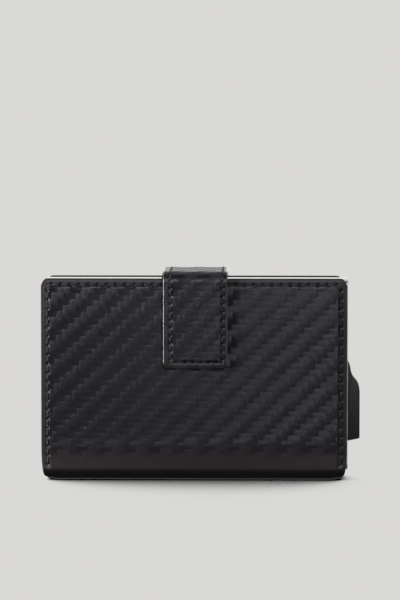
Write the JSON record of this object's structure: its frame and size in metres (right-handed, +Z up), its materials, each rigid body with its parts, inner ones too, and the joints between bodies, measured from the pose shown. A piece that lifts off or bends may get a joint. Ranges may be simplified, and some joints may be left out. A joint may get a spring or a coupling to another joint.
{
  "type": "minimalist wallet",
  "caption": "Bifold leather card wallet with an aluminium card case, a thumb lever that fans the cards out, and a snap strap.",
  "frame": {"origin": "middle of the spine's flat underside, on the surface that the closed wallet stands on", "axes": "+X right along the spine towards the lever's end, +Y from the front cover to the back cover, +Z up from the spine to the open edge"},
  "size_m": [0.1045, 0.0225, 0.069],
  "materials": {
    "leather": "satin",
    "lining": "matte",
    "board": "matte",
    "case_aluminium": "satin",
    "black_plastic": "satin",
    "snap_metal": "satin",
    "felt": "matte",
    "adhesive": "matte"
  },
  "bodies": {
    "back_cover": {"back_cover_leather": "leather", "back_cover_board": "board", "back_lining": "lining", "case_shell": "case_aluminium", "case_guide": "black_plastic", "case_adhesive_pad": "adhesive", "lever_pin": "snap_metal", "brake_strip_front": "felt", "brake_strip_back": "felt", "strap_anchor_leather": "leather", "strap_anchor_lining": "lining"},
    "spine": {"spine_leather": "leather", "spine_lining": "lining"},
    "front_cover": {"front_cover_leather": "leather", "front_cover_board": "board", "front_lining": "lining", "card_pocket_upper": "leather", "card_pocket_lower": "leather", "snap_stud": "snap_metal", "snap_rivet": "snap_metal"},
    "strap_bridge": {"strap_bridge_leather": "leather", "strap_bridge_lining": "lining"},
    "strap_tab": {"strap_tab_leather": "leather", "strap_tab_lining": "lining", "snap_socket": "snap_metal", "snap_cap": "snap_metal"},
    "lever": {"ejector_lever": "black_plastic"}
  },
  "joints": [
    {"name": "spine_fold", "type": "hinge", "parent": "back_cover", "child": "spine", "pos_m": [0, 0.00773, 0.00117], "axis": [1, 0, 0], "range_deg": [0, 90]},
    {"name": "cover_fold", "type": "hinge", "parent": "spine", "child": "front_cover", "pos_m": [0, -0.00773, 0.00117], "axis": [1, 0, 0], "range_deg": [0, 90], "deforming": ["strap_bridge_leather", "strap_bridge_lining", "strap_tab_leather", "strap_tab_lining", "snap_socket", "snap_cap"]},
    {"name": "strap_flip", "type": "hinge", "parent": "back_cover", "child": "strap_bridge", "pos_m": [0, 0.0101, 0.06815], "axis": [-1, 0, 0], "range_deg": [0, 150]},
    {"name": "tab_unsnap", "type": "hinge", "parent": "strap_bridge", "child": "strap_tab", "pos_m": [0, -0.01047, 0.06797], "axis": [-1, 0, 0], "range_deg": [0, 90]},
    {"name": "lever_press", "type": "hinge", "parent": "back_cover", "child": "lever", "pos_m": [0.0445, 0.0004, 0.0095], "axis": [0, -1, 0], "range_deg": [0, 20]}
  ]
}
